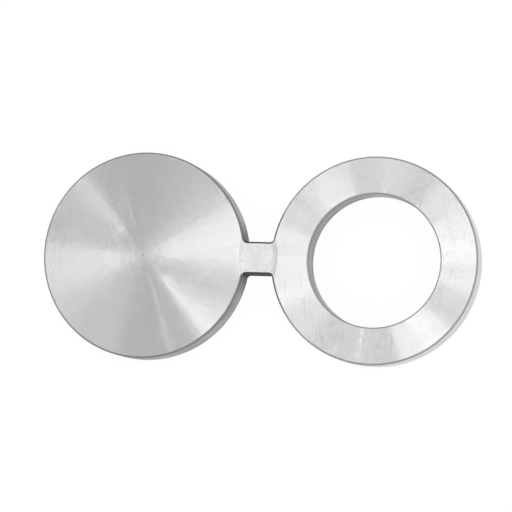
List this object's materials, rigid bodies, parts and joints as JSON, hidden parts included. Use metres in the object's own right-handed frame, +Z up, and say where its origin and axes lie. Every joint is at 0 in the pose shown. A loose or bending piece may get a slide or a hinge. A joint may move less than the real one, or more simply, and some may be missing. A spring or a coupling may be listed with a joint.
{
  "type": "spectacle blind",
  "caption": "Flat steel spectacle blind: a solid disc and an open ring of equal outside size on a short narrow web, turned end for end to shut or open a pipe joint.",
  "frame": {"origin": "middle of the web on the underside, half way between the two centres, with the blind lying flat", "axes": "+X from the solid disc to the open ring, +Y across the web in the plane of the plate, +Z up through the plate, along the pipe"},
  "size_m": [0.358, 0.168, 0.024],
  "materials": {
    "turned_steel": "faces and rims turned bright, web ground matt"
  },
  "bodies": {
    "root": {"spectacle_blind": "turned_steel"}
  },
  "joints": []
}
